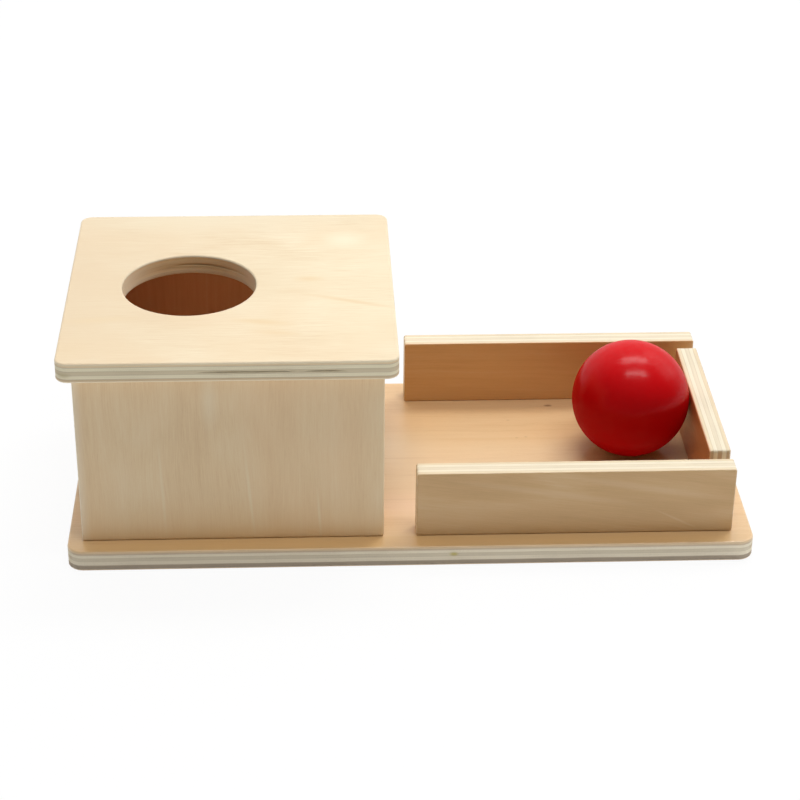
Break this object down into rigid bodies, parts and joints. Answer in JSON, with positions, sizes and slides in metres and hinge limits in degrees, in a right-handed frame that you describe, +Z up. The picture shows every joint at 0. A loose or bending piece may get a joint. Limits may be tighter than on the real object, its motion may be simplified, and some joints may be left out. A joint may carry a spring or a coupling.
{
  "type": "object permanence box",
  "caption": "Plywood toy box with a round drop hole in its lid, an inner ramp and a side exit, on a base board with a low walled tray that catches a lacquered ball.",
  "frame": {"origin": "middle of the base board's underside", "axes": "+X along the base board from the box towards the tray's end wall, +Y from the front wall towards the back wall, +Z up"},
  "size_m": [0.2808, 0.1376, 0.095],
  "materials": {
    "base_plywood": "sanded plywood, warm tan face veneer with grain along the length",
    "box_plywood": "sanded plywood, pale tan face veneer with upright grain",
    "lid_plywood": "sanded plywood, cream face veneer with faint figure",
    "ramp_plywood": "sanded plywood",
    "batten_wood": "planed softwood",
    "tray_plywood": "sanded plywood, tan face veneer with grain along the wall",
    "ball_lacquer": "turned wood under glossy red lacquer",
    "dowel_beech": "turned beech dowel, raw"
  },
  "bodies": {
    "box_and_tray": {"base_board": "base_plywood", "box_front_wall": "box_plywood", "box_back_wall": "box_plywood", "box_left_wall": "box_plywood", "box_exit_wall": "box_plywood", "box_lid": "lid_plywood", "ramp_board": "ramp_plywood", "ramp_batten": "batten_wood", "tray_front_wall": "tray_plywood", "tray_back_wall": "tray_plywood", "tray_end_wall": "tray_plywood", "box_base_dowels": "dowel_beech", "box_corner_dowels": "dowel_beech", "lid_dowels": "dowel_beech", "tray_dowels": "dowel_beech"},
    "ball": {"ball": "ball_lacquer"}
  },
  "joints": [
    {"name": "ball_roll", "type": "slide", "parent": "box_and_tray", "child": "ball", "axis": [1, 0, 0], "range_m": [-0.1112, 0]}
  ]
}
